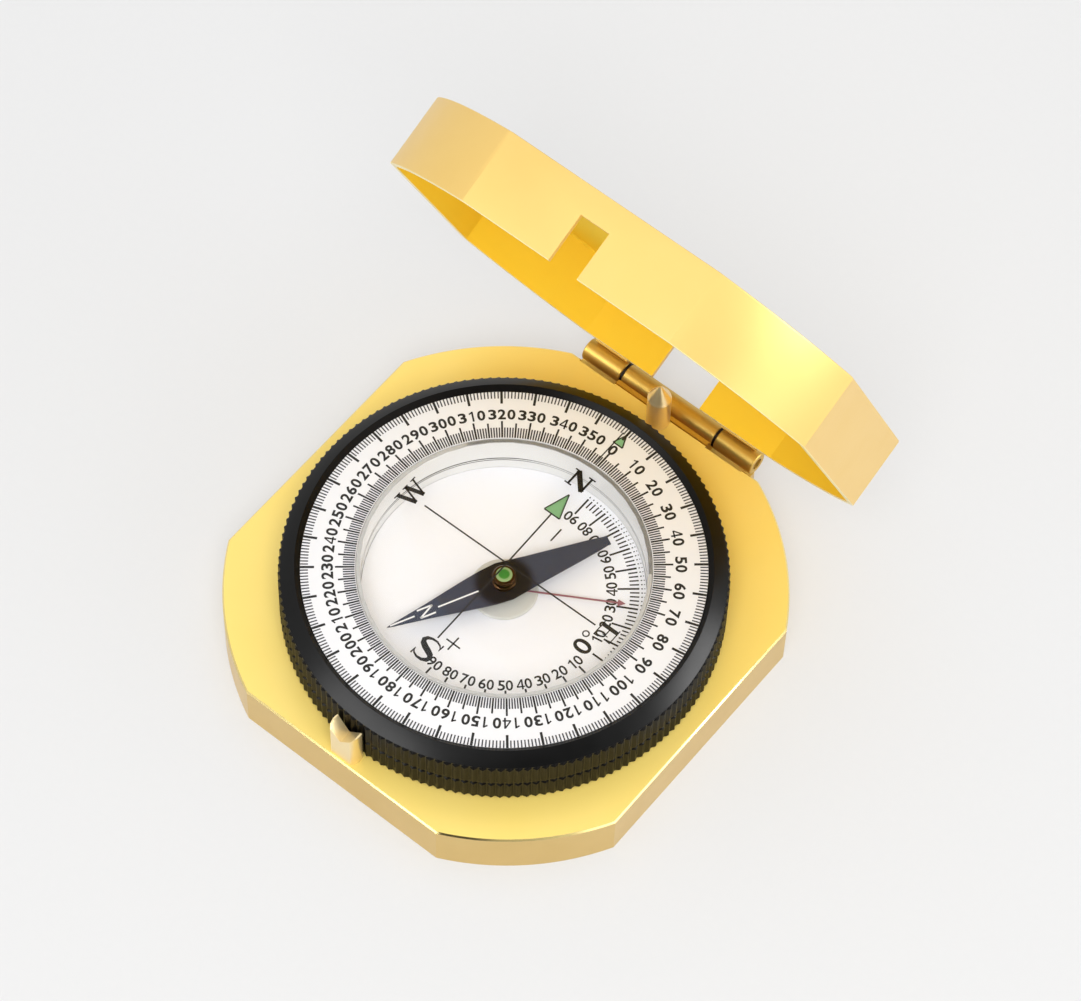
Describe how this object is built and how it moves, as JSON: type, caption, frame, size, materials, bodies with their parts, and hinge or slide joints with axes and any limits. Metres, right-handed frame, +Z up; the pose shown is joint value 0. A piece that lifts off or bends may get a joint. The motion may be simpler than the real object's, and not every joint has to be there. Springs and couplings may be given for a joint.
{
  "type": "geological compass",
  "caption": "Open pocket geological compass: knurled turning dial with swinging needle and clinometer, sights, and a hinged lid on a flat case.",
  "frame": {"origin": "centre of the case outline on the flat underside of the back plate", "axes": "+X along the hinge to the right as seen from the front sight line, +Y towards the hinge and the dial's zero, +Z up"},
  "size_m": [0.066, 0.0806, 0.0759],
  "materials": {
    "gold_case": "bright gold plate, satin polished",
    "hinge_metal": "deeper gold, turned and polished",
    "sight_metal": "pale rose gold, turned",
    "steel": "bright, turned",
    "black_bezel": "black anodised, semi-gloss",
    "dial_white": "white, printed in black",
    "cup_plastic": "milky clear, glossy",
    "window_glass": "clear, printed lines and letters",
    "gasket": "translucent grey",
    "slip_ring": "tan, waxy",
    "blued_steel": "blued, satin",
    "dark_brass": "turned, dark",
    "hub_grey": "soft grey",
    "pointer_red": "dark red paint",
    "jewel": "polished synthetic ruby",
    "lume_green": "green luminous paint"
  },
  "bodies": {
    "case": {"case_body": "gold_case", "back_plate": "gold_case", "back_plate_screw_1": "steel", "back_plate_screw_2": "steel", "back_plate_screw_3": "steel", "back_plate_screw_4": "steel", "front_sight": "sight_metal", "rear_sight": "sight_metal", "case_knuckle": "hinge_metal", "hinge_pin": "steel", "hinge_washer_left": "steel", "hinge_washer_right": "steel", "bezel_slip_ring": "slip_ring"},
    "lid": {"lid_shell": "gold_case", "lid_knuckle_left": "hinge_metal", "lid_knuckle_right": "hinge_metal"},
    "bezel": {"bezel": "black_bezel", "dial_ring": "dial_white", "retaining_ring": "steel", "retaining_screw_1": "steel", "retaining_screw_2": "steel", "retaining_screw_3": "steel", "capsule_cup": "cup_plastic", "dial_floor": "dial_white", "window_gasket": "gasket", "capsule_window": "window_glass", "pivot_pin": "steel"},
    "clinometer": {"clinometer_hub": "hub_grey", "clinometer_weight": "dark_brass", "clinometer_pointer": "pointer_red"},
    "needle": {"needle_blade": "blued_steel", "needle_cap": "dark_brass", "needle_jewel": "jewel", "lume_dot": "lume_green"}
  },
  "joints": [
    {"name": "lid_hinge", "type": "hinge", "parent": "case", "child": "lid", "pos_m": [0, 0.0367, 0.0063], "axis": [-1, 0, 0], "range_deg": [-66.6, 48.4]},
    {"name": "bezel_turn", "type": "hinge", "parent": "case", "child": "bezel", "pos_m": [0.001, -0.0018, 0.0164], "axis": [0, 0, 1], "continuous": true},
    {"name": "clinometer_swing", "type": "hinge", "parent": "bezel", "child": "clinometer", "pos_m": [0.001, -0.0018, 0.0099], "axis": [0, 0, 1], "continuous": true},
    {"name": "needle_swing", "type": "hinge", "parent": "bezel", "child": "needle", "pos_m": [0.001, -0.0018, 0.0122], "axis": [0, 0, 1], "continuous": true}
  ]
}
